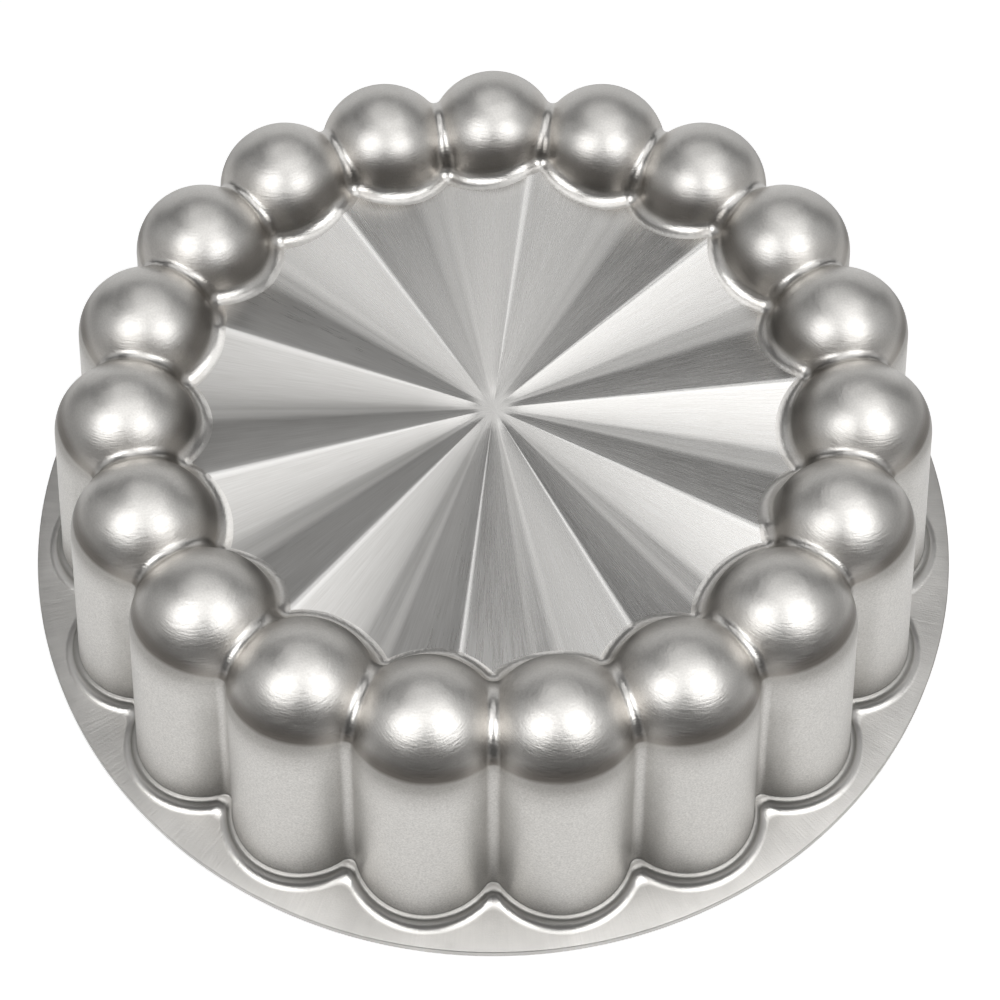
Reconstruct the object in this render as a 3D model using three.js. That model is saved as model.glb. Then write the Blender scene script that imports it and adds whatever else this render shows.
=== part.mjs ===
// Charlotte mould: a ring of leaning, round-topped fingers about a pleated base, on a flat rim.
// It stands on its rim with the cavity downwards. Sizes in millimetres, angles in degrees, +Z up.
// The origin is at the middle of the rim's underside.

import * as THREE from 'three';
import { ParametricGeometry } from 'three/addons/geometries/ParametricGeometry.js';
import { mergeGeometries, mergeVertices } from 'three/addons/utils/BufferGeometryUtils.js';

// Overall sizes
const RIM_DIAMETER = 257;
const MOULD_HEIGHT = 74.5;
const WALL = 3;

// Fingers
const FINGER_COUNT = 19;
const DOME_RADIUS = 18.4;
const FINGER_LEAN = 8; // outwards, going down
const GROOVE_FILLET = 2.4; // between neighbouring fingers
const COVE_FILLET = 4; // between the domes and the base
const NECK_SHARE = 0.65; // share of the way over the dome where the fillet starts to grow into the cove

// Rim and the stepped foot that the fingers stand on
const RIM_THICKNESS = 2.6;
const RIM_LEDGE = 3.6; // flat width outside the foot
const FOOT_STEP = 3.85; // how far the foot stands out from the fingers
const FOOT_FILLET = 2.4; // radius at the bottom of the foot
const FOOT_BEAD = 1.2; // radius of the foot's edge
const FOOT_ROUND = 3.5; // rounding of the foot's outline between two fingers
const FOOT_RISE = 3.2; // from the rim's top to the fingers
const FOOT_SLOPE = 0.4; // fall of the foot's top, away from the fingers

// Pleated base inside the ring
const PLEAT_COUNT = 10;
const PLEAT_DEPTH = 4.8; // ridge to valley, at the outer edge
const PLEAT_TURN = 83.4; // azimuth of one ridge, before the pleats are drawn to the front
const PLEAT_DRAW = 7; // degrees that the side pleats are drawn to the front
const BASE_LIFT = 1; // mean edge level above the dome centres
const BASE_DISH = 2; // how much lower the middle is than the edge

// Clearance between neighbouring pieces
const PART_GAP = 0.3;

// Facets: across half a finger, over the dome and round the cove
const ROUND_STEPS = 4;
const GROOVE_STEPS = 1;
const DOME_STEPS = 7;
const COVE_STEPS = 2;

// Fineness of the sums: balls settle in a few passes, and points or angles below these limits are one
const SETTLE_PASSES = 6;
const SAME_POINT = 1e-4;
const SAME_ANGLE = 1e-6;
const SAME_SHARE = 0.05;

// Bare cast aluminium: colour and roughness of each zone
const RIM_METAL = { color: 0xb4b3b0, metalness: 1, roughness: 0.42 };
const BASE_METAL = { color: 0xc4c3c0, metalness: 1, roughness: 0.3 };
const FINGER_METAL = { color: 0xbcbbb8, metalness: 1, roughness: 0.36 };

// Sizes that follow from the ones above
const TAU = Math.PI * 2;
const LEAN = THREE.MathUtils.degToRad(FINGER_LEAN);
const HALF_TURN = Math.PI / FINGER_COUNT;
const RIM_RADIUS = RIM_DIAMETER / 2;
const DOME_HEIGHT = MOULD_HEIGHT - DOME_RADIUS;
const FOOT_HEIGHT = RIM_THICKNESS + FOOT_RISE;
const FOOT_AXIS = RIM_RADIUS - RIM_LEDGE - FOOT_STEP - DOME_RADIUS / Math.cos(LEAN);
const RING_RADIUS = FOOT_AXIS - (DOME_HEIGHT - FOOT_HEIGHT) * Math.tan(LEAN);
const HALF_PITCH = RING_RADIUS * Math.sin(HALF_TURN);
const BASE_RADIUS = RING_RADIUS - DOME_RADIUS - COVE_FILLET;
const HALF_STEPS = ROUND_STEPS + GROOVE_STEPS;
const ROWS = 1 + DOME_STEPS + COVE_STEPS;

// Directions in the frame of one finger: X away from the mould's axis, Y along the ring, Z up
const UP = new THREE.Vector3(0, 0, 1);
const NADIR = new THREE.Vector3(0, 0, -1);
const DOME_CENTRE = new THREE.Vector3(RING_RADIUS, 0, DOME_HEIGHT);
const DOWN = new THREE.Vector3(Math.sin(LEAN), 0, -Math.cos(LEAN));
const OUT = new THREE.Vector3(Math.cos(LEAN), 0, Math.sin(LEAN));
const SIDE = new THREE.Vector3(0, 1, 0);
const ACROSS = new THREE.Vector3(-Math.sin(HALF_TURN), Math.cos(HALF_TURN), 0);
const BISECT = new THREE.Vector3(Math.cos(HALF_TURN), Math.sin(HALF_TURN), 0);

// Point reached from a start by any number of (direction, length) steps
function from(start, ...steps) {
  const point = start.clone();
  for (const [direction, length] of steps) {
    point.addScaledVector(direction, length);
  }
  return point;
}

// Direction part of the way round from one unit vector to another
function arc(a, b, part) {
  const angle = a.angleTo(b);
  if (angle < SAME_ANGLE) {
    return a.clone();
  }
  const first = Math.sin((1 - part) * angle) / Math.sin(angle);
  const second = Math.sin(part * angle) / Math.sin(angle);
  return new THREE.Vector3().addScaledVector(a, first).addScaledVector(b, second).normalize();
}

// The same direction laid into the plane between two neighbouring fingers
function intoGroove(direction) {
  return from(direction, [ACROSS, -direction.dot(ACROSS)]).normalize();
}

// Azimuth of a fold, counted in half pleats from a ridge
function foldAzimuth(fold) {
  const even = THREE.MathUtils.degToRad(PLEAT_TURN) + (fold * Math.PI) / PLEAT_COUNT;
  let azimuth = even;
  for (let pass = 0; pass < SETTLE_PASSES; pass += 1) {
    azimuth = even - THREE.MathUtils.degToRad(PLEAT_DRAW) * Math.cos(azimuth);
  }
  return azimuth;
}

// Level of the pleated base: straight folds that run out from the middle
function pleatLevel(x, y) {
  const azimuth = Math.atan2(y, x);
  const even = azimuth + THREE.MathUtils.degToRad(PLEAT_DRAW) * Math.cos(azimuth);
  const fold = ((even - THREE.MathUtils.degToRad(PLEAT_TURN)) * PLEAT_COUNT) / TAU;
  const fall = Math.abs(fold - Math.round(fold)) * 2;
  const reach = Math.hypot(x, y) / BASE_RADIUS;
  const mean = DOME_HEIGHT + BASE_LIFT + (reach - 1) * BASE_DISH;
  return mean + PLEAT_DEPTH * reach * (0.5 - fall);
}

// Angle round the leaning axis where a circle of this radius meets the plane between two fingers
function grooveAngle(along, radius) {
  const gap = HALF_PITCH + along * Math.sin(LEAN) * Math.sin(HALF_TURN);
  const ahead = Math.cos(HALF_TURN);
  const beside = Math.sin(HALF_TURN) * Math.cos(LEAN);
  return Math.atan2(beside, ahead) + Math.asin(gap / (radius * Math.hypot(ahead, beside)));
}

// Column: a leaning cylinder with a fillet into the groove. out moves the skin outwards.
function columnPoint(along, rib, out) {
  const axis = from(DOME_CENTRE, [DOWN, along]);
  const share = Math.max(out, 0) / FOOT_STEP;
  const fillet = THREE.MathUtils.lerp(GROOVE_FILLET - Math.min(out, 0), FOOT_ROUND, share);
  const reach = DOME_RADIUS + out + fillet;
  const end = grooveAngle(along, reach);
  if (rib <= ROUND_STEPS) {
    const angle = (end * rib) / ROUND_STEPS;
    const length = DOME_RADIUS + out;
    return from(axis, [OUT, length * Math.cos(angle)], [SIDE, length * Math.sin(angle)]);
  }
  const outward = from(new THREE.Vector3(), [OUT, Math.cos(end)], [SIDE, Math.sin(end)]);
  const ball = from(axis, [outward, reach]);
  const inward = outward.clone().negate();
  const direction = arc(inward, intoGroove(inward), (rib - ROUND_STEPS) / GROOVE_STEPS);
  return from(ball, [direction, fillet]);
}

// Point of the column at a stated height
function columnAtHeight(height, rib, out) {
  let along = (DOME_HEIGHT - height) / Math.cos(LEAN);
  let point = columnPoint(along, rib, out);
  for (let pass = 0; pass < SETTLE_PASSES; pass += 1) {
    along += (point.z - height) / Math.cos(LEAN);
    point = columnPoint(along, rib, out);
  }
  return point;
}

// Turns a point of one finger's frame, on the side named, to the mould's frame
function turned(point, side, azimuth) {
  return new THREE.Vector3(point.x, point.y * side, point.z).applyAxisAngle(UP, azimuth);
}

// Balls that roll in the cove where one side of a finger's dome meets the pleated base
function coveBalls(azimuth, side) {
  const reach = DOME_RADIUS + COVE_FILLET;
  const settle = (ballAt) => {
    let lift = COVE_FILLET;
    let ball = ballAt(lift);
    for (let pass = 0; pass < SETTLE_PASSES; pass += 1) {
      const contact = turned(ball, side, azimuth);
      lift = pleatLevel(contact.x, contact.y) + COVE_FILLET - DOME_HEIGHT;
      ball = ballAt(lift);
    }
    return ball;
  };
  const corner = settle((lift) => {
    const inward = Math.sqrt(reach ** 2 - HALF_PITCH ** 2 - lift ** 2);
    return from(DOME_CENTRE, [ACROSS, HALF_PITCH], [BISECT, -inward], [UP, lift]);
  });
  const sweep = Math.atan2(corner.y, RING_RADIUS - corner.x);
  const balls = [];
  for (let rib = 0; rib <= ROUND_STEPS; rib += 1) {
    const angle = (sweep * rib) / ROUND_STEPS;
    const heading = new THREE.Vector3(-Math.cos(angle), Math.sin(angle), 0);
    balls.push(settle((lift) => from(DOME_CENTRE, [heading, Math.sqrt(reach ** 2 - lift ** 2)], [UP, lift])));
  }
  return { balls, corner };
}

// Dome with the neck to its neighbour, from the column (part 0) to the cove (part 1)
function domePoint(cove, part, rib, out) {
  const blend = THREE.MathUtils.smoothstep(part, NECK_SHARE, 1);
  const fillet = THREE.MathUtils.lerp(GROOVE_FILLET, COVE_FILLET, blend);
  const neck = Math.sqrt((DOME_RADIUS + fillet) ** 2 - HALF_PITCH ** 2);
  const neckFirst = Math.sqrt((DOME_RADIUS + GROOVE_FILLET) ** 2 - HALF_PITCH ** 2);
  const neckLast = Math.sqrt((DOME_RADIUS + COVE_FILLET) ** 2 - HALF_PITCH ** 2);
  const firstRise = (DOME_RADIUS + GROOVE_FILLET) * Math.cos(grooveAngle(0, DOME_RADIUS + GROOVE_FILLET));
  const first = Math.asin((firstRise * Math.sin(LEAN)) / neckFirst);
  const last = Math.PI - Math.asin((cove.corner.z - DOME_HEIGHT) / neckLast);
  const turn = THREE.MathUtils.lerp(first, last, part);
  const ball = from(
    DOME_CENTRE,
    [ACROSS, HALF_PITCH],
    [BISECT, neck * Math.cos(turn)],
    [UP, neck * Math.sin(turn)],
  );
  const toBall = from(ball, [DOME_CENTRE, -1]).normalize();
  if (rib > ROUND_STEPS) {
    const inward = toBall.clone().negate();
    const direction = arc(inward, intoGroove(inward), (rib - ROUND_STEPS) / GROOVE_STEPS);
    return from(ball, [direction, fillet - out]);
  }
  const share = rib / ROUND_STEPS;
  const lastMiddle = from(cove.balls[0], [DOME_CENTRE, -1]).normalize();
  const lastBall = from(cove.corner, [DOME_CENTRE, -1]).normalize();
  const lastRib = from(cove.balls[rib], [DOME_CENTRE, -1]).normalize();
  const middleTurn = THREE.MathUtils.lerp(LEAN, Math.PI - Math.asin(lastMiddle.z), part);
  const middle = new THREE.Vector3(Math.cos(middleTurn), 0, Math.sin(middleTurn));
  const direction = arc(middle, toBall, share);
  direction.addScaledVector(lastRib, part ** 2);
  direction.addScaledVector(arc(lastMiddle, lastBall, share), -(part ** 2));
  return from(DOME_CENTRE, [direction.normalize(), DOME_RADIUS + out]);
}

// Cove from the dome (part 0) to the base (part 1)
function covePoint(cove, part, rib, out) {
  if (rib > ROUND_STEPS) {
    const inward = from(DOME_CENTRE, [cove.corner, -1]).normalize();
    const start = arc(inward, intoGroove(inward), (rib - ROUND_STEPS) / GROOVE_STEPS);
    return from(cove.corner, [arc(start, NADIR, part), COVE_FILLET - out]);
  }
  const ball = cove.balls[rib];
  const start = from(DOME_CENTRE, [ball, -1]).normalize();
  return from(ball, [arc(start, NADIR, part), COVE_FILLET - out]);
}

// Grid surface whose points are asked for by whole column and row numbers
function gridSurface(columns, rows, pointAt) {
  const surface = (u, v, target) => {
    target.copy(pointAt(Math.round(u * columns), Math.round(v * rows)));
  };
  return new ParametricGeometry(surface, columns, rows);
}

// One closed, outward solid from surfaces that share their edges
function solidOf(surfaces) {
  const bare = surfaces.map((surface) => {
    const copy = new THREE.BufferGeometry();
    copy.setAttribute('position', surface.getAttribute('position'));
    copy.setIndex(surface.getIndex());
    return copy;
  });
  const solid = mergeVertices(mergeGeometries(bare), SAME_POINT);
  const index = solid.getIndex().array;
  const spots = solid.getAttribute('position');
  const corner = [new THREE.Vector3(), new THREE.Vector3(), new THREE.Vector3()];
  const kept = [];
  let volume = 0;
  for (let i = 0; i < index.length; i += 3) {
    const [a, b, c] = [index[i], index[i + 1], index[i + 2]];
    if (a === b || b === c || c === a) {
      continue;
    }
    kept.push(a, b, c);
    corner[0].fromBufferAttribute(spots, a);
    corner[1].fromBufferAttribute(spots, b);
    corner[2].fromBufferAttribute(spots, c);
    volume += corner[0].dot(corner[1].cross(corner[2])) / 6;
  }
  if (volume < 0) {
    for (let i = 0; i < kept.length; i += 3) {
      [kept[i + 1], kept[i + 2]] = [kept[i + 2], kept[i + 1]];
    }
  }
  solid.setIndex(kept);
  solid.computeVertexNormals();
  return solid;
}

// One finger: column, dome, half of each neck and its part of the cove, as a shell of even wall
function fingerSolid(azimuth) {
  const coves = { [-1]: coveBalls(azimuth, -1), 1: coveBalls(azimuth, 1) };
  const skin = (column, row, out) => {
    const side = column < HALF_STEPS ? -1 : 1;
    const rib = Math.abs(column - HALF_STEPS);
    let point;
    if (row === 0) {
      point = columnAtHeight(FOOT_HEIGHT + PART_GAP, rib, out);
    } else if (row <= 1 + DOME_STEPS) {
      point = domePoint(coves[side], (row - 1) / DOME_STEPS, rib, out);
    } else {
      point = covePoint(coves[side], (row - 1 - DOME_STEPS) / COVE_STEPS, rib, out);
    }
    const edge = point.x * Math.sin(HALF_TURN);
    point.y *= 1 - PART_GAP / 2 / edge;
    return turned(point, side, azimuth);
  };
  const layer = (inner) => (inner ? -WALL : 0);
  const last = 2 * ROWS + 1;
  const loop = gridSurface(2 * HALF_STEPS, last + 1, (column, step) => {
    const inner = step > ROWS && step <= last;
    const row = inner ? last - step : step % (last + 1);
    return skin(column, row, layer(inner));
  });
  const leftEnd = gridSurface(ROWS, 1, (row, inner) => skin(0, row, layer(inner)));
  const rightEnd = gridSurface(1, ROWS, (inner, row) => skin(2 * HALF_STEPS, row, layer(inner)));
  return solidOf([loop, leftEnd, rightEnd]);
}

// Azimuth of a finger, counted clockwise from the one at the back
function fingerAzimuth(number) {
  return Math.PI / 2 - number * 2 * HALF_TURN;
}

// Rim: flat flange with the stepped foot that follows the fingers' outline
function rimSolid() {
  const footTop = FOOT_HEIGHT - FOOT_SLOPE;
  const turn = Math.acos(1 - (footTop - RIM_THICKNESS) / (FOOT_BEAD + FOOT_FILLET));
  const beadOut = FOOT_STEP - (FOOT_BEAD + FOOT_FILLET) * Math.sin(turn);
  const fillet = (angle) => [
    FOOT_STEP - FOOT_FILLET * Math.sin(angle),
    RIM_THICKNESS + FOOT_FILLET * (1 - Math.cos(angle)),
  ];
  const bead = (angle) => [beadOut + FOOT_BEAD * Math.sin(angle), footTop - FOOT_BEAD * (1 - Math.cos(angle))];
  const foot = [
    fillet(0),
    fillet(turn / 2),
    fillet(turn),
    bead(turn / 2),
    bead(0),
    [0, FOOT_HEIGHT],
    [-WALL, FOOT_HEIGHT],
    [-WALL, 0],
  ];
  const edge = [0, RIM_THICKNESS];
  const perFinger = 2 * HALF_STEPS;
  const section = (column, step) => {
    const number = Math.floor(column / perFinger) % FINGER_COUNT;
    const place = column % perFinger;
    const side = place < HALF_STEPS ? 1 : -1;
    const rib = Math.abs(place - HALF_STEPS);
    const azimuth = fingerAzimuth(number);
    if (step < foot.length) {
      const [out, height] = foot[step];
      return turned(columnAtHeight(height, rib, out), side, azimuth);
    }
    const spot = turned(columnAtHeight(RIM_THICKNESS, rib, FOOT_STEP), side, azimuth);
    spot.setZ(0).setLength(RIM_RADIUS).setZ(edge[step - foot.length]);
    return spot;
  };
  const steps = foot.length + edge.length;
  return solidOf([gridSurface(FINGER_COUNT * perFinger, steps, (column, step) => section(column, step % steps))]);
}

// Outline of the base: the lower edge of the cove, with a point on every fold
function baseOutline() {
  const outline = [];
  for (let number = 0; number < FINGER_COUNT; number += 1) {
    const azimuth = fingerAzimuth(number);
    for (const side of [1, -1]) {
      const cove = coveBalls(azimuth, side);
      for (let rib = side > 0 ? 0 : 1; rib <= ROUND_STEPS - (side > 0 ? 0 : 1); rib += 1) {
        const spot = turned(covePoint(cove, 1, rib, 0), side, azimuth);
        outline.push({ angle: Math.atan2(spot.y, spot.x), spot });
      }
    }
  }
  outline.sort((a, b) => a.angle - b.angle);
  const folds = [];
  for (let fold = 0; fold < 2 * PLEAT_COUNT; fold += 1) {
    const heading = foldAzimuth(fold);
    const angle = Math.atan2(Math.sin(heading), Math.cos(heading));
    const after = outline.findIndex((item) => item.angle > angle);
    const next = outline[after < 0 ? 0 : after].spot;
    const before = outline[(after <= 0 ? outline.length : after) - 1].spot;
    const normal = new THREE.Vector3(-Math.sin(angle), Math.cos(angle), 0);
    const share = before.dot(normal) / (before.dot(normal) - next.dot(normal));
    if (share > SAME_SHARE && share < 1 - SAME_SHARE) {
      folds.push({ angle, spot: before.clone().lerp(next, share) });
    }
  }
  return [...outline, ...folds].sort((a, b) => a.angle - b.angle).map((item) => item.spot);
}

// Base: pleated plate of even wall inside the ring of coves
function baseSolid() {
  const outline = baseOutline().map((spot) => {
    const flat = new THREE.Vector3(spot.x, spot.y, 0);
    return flat.setLength(flat.length() - PART_GAP);
  });
  const middle = pleatLevel(0, 0);
  const plate = gridSurface(outline.length, 3, (column, row) => {
    const drop = row < 2 ? 0 : WALL;
    if (row === 0 || row === 3) {
      return new THREE.Vector3(0, 0, middle - drop);
    }
    const { x, y } = outline[column % outline.length];
    return new THREE.Vector3(x, y, pleatLevel(x, y) - drop);
  });
  return solidOf([plate]);
}

// One named piece with its own metal
function piece(name, geometry, metal) {
  const mesh = new THREE.Mesh(geometry, new THREE.MeshStandardMaterial(metal));
  mesh.name = name;
  return mesh;
}

const mould = new THREE.Group();
mould.name = 'charlotte_mould';
mould.add(piece('rim_flange', rimSolid(), RIM_METAL));
mould.add(piece('pleated_base', baseSolid(), BASE_METAL));
for (let number = 0; number < FINGER_COUNT; number += 1) {
  const name = `finger_${String(number + 1).padStart(2, '0')}`;
  mould.add(piece(name, fingerSolid(fingerAzimuth(number)), FINGER_METAL));
}

export default mould;
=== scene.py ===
"""Cast charlotte mould: its metal skin, finishes and a plain studio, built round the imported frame."""

import math

import bpy
from bpy.props import FloatProperty, FloatVectorProperty, IntProperty, PointerProperty
from bpy.types import Operator, Panel, PropertyGroup
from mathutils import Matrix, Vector


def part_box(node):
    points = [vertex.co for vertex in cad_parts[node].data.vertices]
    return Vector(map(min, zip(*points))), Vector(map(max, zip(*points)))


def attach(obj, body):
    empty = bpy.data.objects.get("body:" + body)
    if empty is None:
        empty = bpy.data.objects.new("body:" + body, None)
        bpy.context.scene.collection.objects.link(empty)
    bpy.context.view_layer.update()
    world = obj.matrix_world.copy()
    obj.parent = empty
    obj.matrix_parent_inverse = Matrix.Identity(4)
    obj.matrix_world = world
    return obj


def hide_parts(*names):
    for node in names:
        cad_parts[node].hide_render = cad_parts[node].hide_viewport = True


bl_info = {
    "name": "Charlotte Mould",
    "version": (1, 0, 0),
    "blender": (4, 5, 0),
    "location": "View3D > Sidebar > Mould",
    "description": "Models a cast charlotte mould, its metal finishes and a plain studio",
    "category": "Add Mesh",
}

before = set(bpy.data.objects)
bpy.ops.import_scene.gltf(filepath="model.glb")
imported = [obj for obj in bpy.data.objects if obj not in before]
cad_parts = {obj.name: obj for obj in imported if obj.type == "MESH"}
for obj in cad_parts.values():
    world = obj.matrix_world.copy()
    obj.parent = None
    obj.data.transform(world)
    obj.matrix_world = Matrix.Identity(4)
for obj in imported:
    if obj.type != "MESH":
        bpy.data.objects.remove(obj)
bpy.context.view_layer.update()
RIM_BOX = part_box("rim_flange")
FINGER_NODES = sorted(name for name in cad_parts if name.startswith("finger_"))
BODY = "root"
UP = Vector((0, 0, 1))

# Mesh fineness: steps round, into the groove, up the column, over the dome and down the cove of a finger
ROUND_STEPS = 16
GROOVE_STEPS = 10
COLUMN_STEPS = 26
DOME_STEPS = 44
COVE_STEPS = 12
HALF_STEPS = ROUND_STEPS + GROOVE_STEPS
SKIN_ROWS = COLUMN_STEPS + DOME_STEPS + COVE_STEPS

# Mesh fineness of the base, its folds and the rim, with the rings as shares of the radius
BASE_RINGS = (0.0, 0.01, 0.02, 0.035, 0.05, 0.07, 0.1, 0.15, 0.25, 0.4, 0.55, 0.7, 0.85, 0.95, 0.985, 1.0)
FOLD_STEPS = (-1.0, -0.6, -0.25, 0.0, 0.25, 0.6, 1.0)
FOOT_STEPS = 6
EDGE_STEPS = 4

# Passes that let a ball or an azimuth settle, and limits for merging points and shading edges
SETTLE_PASSES = 8
LEVEL_PASSES = 4
TINY_TURN = 1e-7
MERGE_DISTANCE = 2e-6
SKIN_CREASE = math.radians(35)
BASE_CREASE = math.radians(30)

# Flat share of the plain spot in the middle of the base
SPOT_FLAT = 0.3

# Finish and painted shade of a finger by rows of its skin: where a mask starts and is full, and where it
# fades and is gone
FINGER_MASKS = ("polish", "dome_shade", "flank_shade", "gloss")
DOME_SHADE_ROW = COLUMN_STEPS + 5
COVE_ROW = COLUMN_STEPS + DOME_STEPS
POLISH_ROWS = (DOME_SHADE_ROW - 3, DOME_SHADE_ROW)
GLOSS_ROWS = (COLUMN_STEPS - 2, DOME_SHADE_ROW)
COVE_GLOSS_ROWS = (COVE_ROW - 4, COVE_ROW + 1)
DOME_FLANK_ROWS = (COLUMN_STEPS - 9, COLUMN_STEPS)
# Painted shade on each dome: a dark line at its foot, a fade above the line and a dark band above the
# cove, with their depths
LINE_ROWS = (DOME_SHADE_ROW - 2, DOME_SHADE_ROW, DOME_SHADE_ROW + 1, DOME_SHADE_ROW + 7)
SHADE_FADE_ROWS = (COLUMN_STEPS - 4, DOME_SHADE_ROW, DOME_SHADE_ROW, DOME_SHADE_ROW + 12)
COVE_ROWS = (COVE_ROW - 11, COVE_ROW - 4, COVE_ROW - 1, COVE_ROW + 4)
LINE_DEPTH = 0.95
SHADE_FADE_DEPTH = 0.6
COVE_DEPTH = 0.8

# Painted shade and gloss of a finger by ribs: shares of the way round the finger, and of the way into the
# groove
# The painted shade at the foot of a dome eases towards its sides
SHADE_EASING_RIBS = (0.5, 0.95)
# Painted shade on the flanks beside the grooves and necks, eased in the groove itself
FLANK_RIBS = (0.6, 0.86)
DEEP_RIBS = (0.1, 0.7)
SIDE_SHADE_EASING = 0.3
GROOVE_SHADE_EASING = 0.85
DOME_FLANK = 0.5

# Painted shade and highlight of the base by shares of its radius, and by how squarely a place lies on the
# side that is painted darker and made rougher
SPOT_FADE = (0.03, 0.2)
SPOT_CREST = 0.5
SIDE_REACH = (0.0, 0.3)
SIDE_FACING = (0.2, 0.9)

# Painted shade, polish and painted highlight of the foot by rows of the rim's section
FOOT_TOP_ROWS = (FOOT_STEPS, 2 * FOOT_STEPS)
FOOT_WALL_ROWS = (FOOT_STEPS, 2 * FOOT_STEPS, 2 * FOOT_STEPS, 2 * FOOT_STEPS + 3)
FOOT_SHINE_ROWS = (2 * FOOT_STEPS + 1, 2 * FOOT_STEPS + 4, 2 * FOOT_STEPS + 5, 3 * FOOT_STEPS + 1)
FOOT_TOP_SHADING = 0.55

# Noise patterns: scale, detail and roughness of each, and how a place is stretched for them
GRAIN_NOISE = (2000.0, 2.0, 0.6)
CLOUD_NOISE = (70.0, 3.0, 0.55)
FINE_LEVEL_NOISE = (330.0, 2.0, 0.6)
BROAD_LEVEL_NOISE = (160.0, 2.0, 0.5)
FINE_RADIAL_NOISE = (200.0, 2.0, 0.6)
BROAD_RADIAL_NOISE = (70.0, 2.0, 0.5)
FINE_LEVEL_STRETCH = (1.0, 1.0, 10.0)
BROAD_LEVEL_STRETCH = (1.0, 1.0, 6.0)
RADIAL_STRETCH = 0.45

# Shares of the fine lines in a brushing, and the part of a pattern's values that fills a whole range
FINE_LEVEL_SHARE = 0.85
FINE_RADIAL_SHARE = 0.7
NOISE_RANGE = (0.3, 0.7)
WIDE_RANGE = (0.25, 0.75)
LINE_RANGE = (0.35, 0.65)

# Finger metal: tones, speckle, painted shade beside the grooves and necks, spread of the roughness, and
# relief as depth and strength
CLOUDY_TONE = 0.93
COLUMN_SPECKLE = 0.4
DOME_SPECKLE = 0.2
FLANK_SHADE_RANGE = (0.22, 0.4)
SATIN_SPREAD = (-0.03, 0.05)
MATT_SPREAD = (-0.05, 0.06)
COLUMN_GRAIN = 1.0
DOME_GRAIN = 0.35
COLUMN_LINES = 0.3
DOME_LINES = 0.75
FINGER_RELIEF = (0.00015, 0.6)

# Base metal: the same, with the painted shade in the valleys and the painted highlight on each ridge
STREAK_TONE = 0.92
STREAK_RANGE = (0.2, 0.8)
VALLEY_POWER = 2.0
RIDGE_CREST = (0.9, 0.99)
RIDGE_HIGHLIGHT = 0.9
BASE_SPREAD = (-0.02, 0.03)
BASE_GRAIN = 0.3
BASE_RELIEF = (0.0001, 0.03)

# Rim metal: the same, with painted shade on the foot, and its fillet polished and lifted by a painted
# highlight
RIM_DIM_TONE = 0.68
RIM_CLEAR_TONE = 0.86
RIM_STREAK_RANGE = (0.5, 1.0)
FOOT_SHADING = 0.9
RIM_SPREAD = (-0.08, 0.08)
FILLET_POLISH = 0.1
RIM_GRAIN = 0.6
RIM_RELIEF = (0.00012, 0.6)

# Lamps: name, shape, place, size, the setting that holds the radiance, and the point that the lamp faces
MIDDLE = (0.0, 0.0, 0.0)
LAMPS = (
    ("softbox_left", "ELLIPSE", (-0.26, -0.23, 0.5), (0.42, 0.42), "key_glow", MIDDLE),
    ("softbox_right", "ELLIPSE", (0.26, -0.23, 0.5), (0.42, 0.42), "key_glow", MIDDLE),
    ("panel_over", "RECTANGLE", (0.4, 0.2, 1.4), (1.4, 0.66), "over_glow", (0.5, 0.0, 0.0)),
    ("panel_fill", "RECTANGLE", (-0.36, 0.48, 1.36), (0.6, 0.6), "fill_glow", MIDDLE),
    ("panel_slope", "RECTANGLE", (0.0, 0.87, 1.175), (1.06, 0.5), "slope_glow", MIDDLE),
    ("panel_back", "RECTANGLE", (0.0, 1.3, 0.32), (2.6, 0.6), "back_glow", MIDDLE),
    ("panel_left", "RECTANGLE", (-1.2, 0.0, 0.6), (1.2, 0.9), "side_glow", MIDDLE),
    ("panel_right", "RECTANGLE", (1.2, 0.0, 0.6), (1.2, 0.9), "side_glow", MIDDLE),
)
FLOOR_DROP = 0.0002
SENSOR_WIDTH = 36.0


def length(label, note, default):
    """A size in metres, shown in the scene's own unit."""
    return FloatProperty(name=label, description=note, default=default, unit="LENGTH", precision=5)


def angle(label, note, degrees):
    """An angle, shown in degrees."""
    return FloatProperty(name=label, description=note, default=math.radians(degrees), unit="ROTATION")


def share(label, note, default):
    """A plain factor from 0 to 1."""
    return FloatProperty(
        name=label, description=note, default=default, min=0.0, max=1.0, subtype="FACTOR"
    )


def glow(label, note, default):
    """Radiance of a lamp."""
    return FloatProperty(name=label, description=note, default=default, min=0.0)


def position(label, note, default):
    """A place in metres."""
    return FloatVectorProperty(name=label, description=note, default=default, size=3, subtype="XYZ")


def colour(label, note, default):
    """A linear colour."""
    return FloatVectorProperty(
        name=label, description=note, default=default, size=3, min=0.0, max=1.0, subtype="COLOR"
    )


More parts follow.
